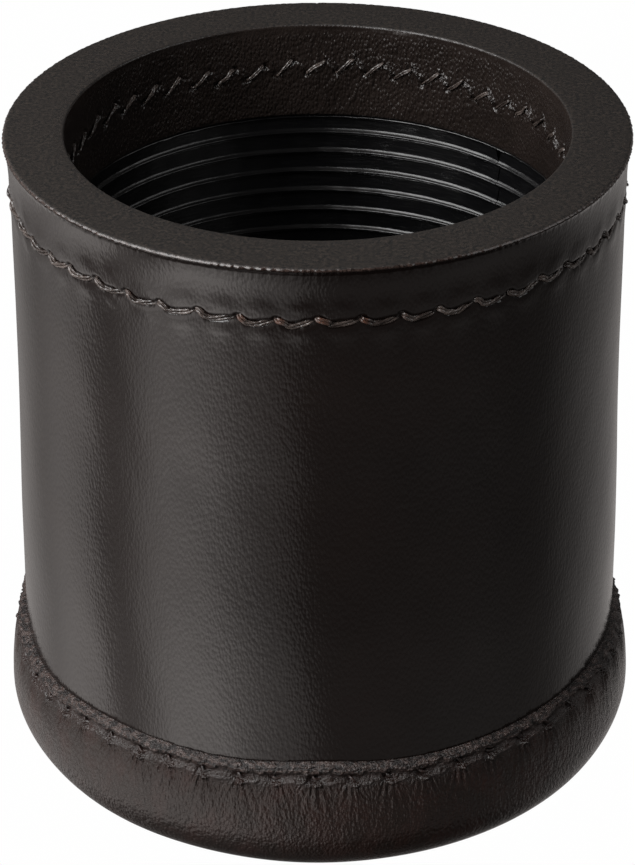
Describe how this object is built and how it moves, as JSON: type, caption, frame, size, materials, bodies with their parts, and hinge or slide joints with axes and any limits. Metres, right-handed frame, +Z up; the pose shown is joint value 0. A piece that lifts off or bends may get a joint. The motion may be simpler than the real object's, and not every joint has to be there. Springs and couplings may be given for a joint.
{
  "type": "dice cup",
  "caption": "Round open dice cup: leather sleeve and collar sewn over a board tube, ribbed rubber lining, moulded leather base with a rounded foot; holds, shakes and throws dice.",
  "frame": {"origin": "middle of the underside, where the cup stands on a table", "axes": "+Z up through the open mouth, -Y towards the front, +X to the right"},
  "size_m": [0.0888, 0.0888, 0.0953],
  "materials": {
    "sleeve_leather": "smooth dark brown leather with fine grain, waxed",
    "leather_board": "bonded leather board, its top edge painted dark grey-brown",
    "collar_leather": "dark brown pebbled leather",
    "lining_rubber": "black moulded rubber, satin",
    "fibre_board": "raw fibre board",
    "cork": "pressed cork",
    "base_leather": "wet-moulded dark brown leather, wrinkled below the stitching",
    "waxed_thread": "thick twisted waxed thread, brown"
  },
  "bodies": {
    "root": {"outer_sleeve": "sleeve_leather", "core_tube": "leather_board", "mouth_collar": "collar_leather", "ribbed_lining": "lining_rubber", "floor_disc": "lining_rubber", "base_board": "fibre_board", "base_pad": "cork", "base_cup": "base_leather", "rim_seam_outer_thread": "waxed_thread", "rim_seam_inner_thread": "waxed_thread", "base_seam_outer_thread": "waxed_thread", "base_seam_inner_thread": "waxed_thread"}
  },
  "joints": []
}
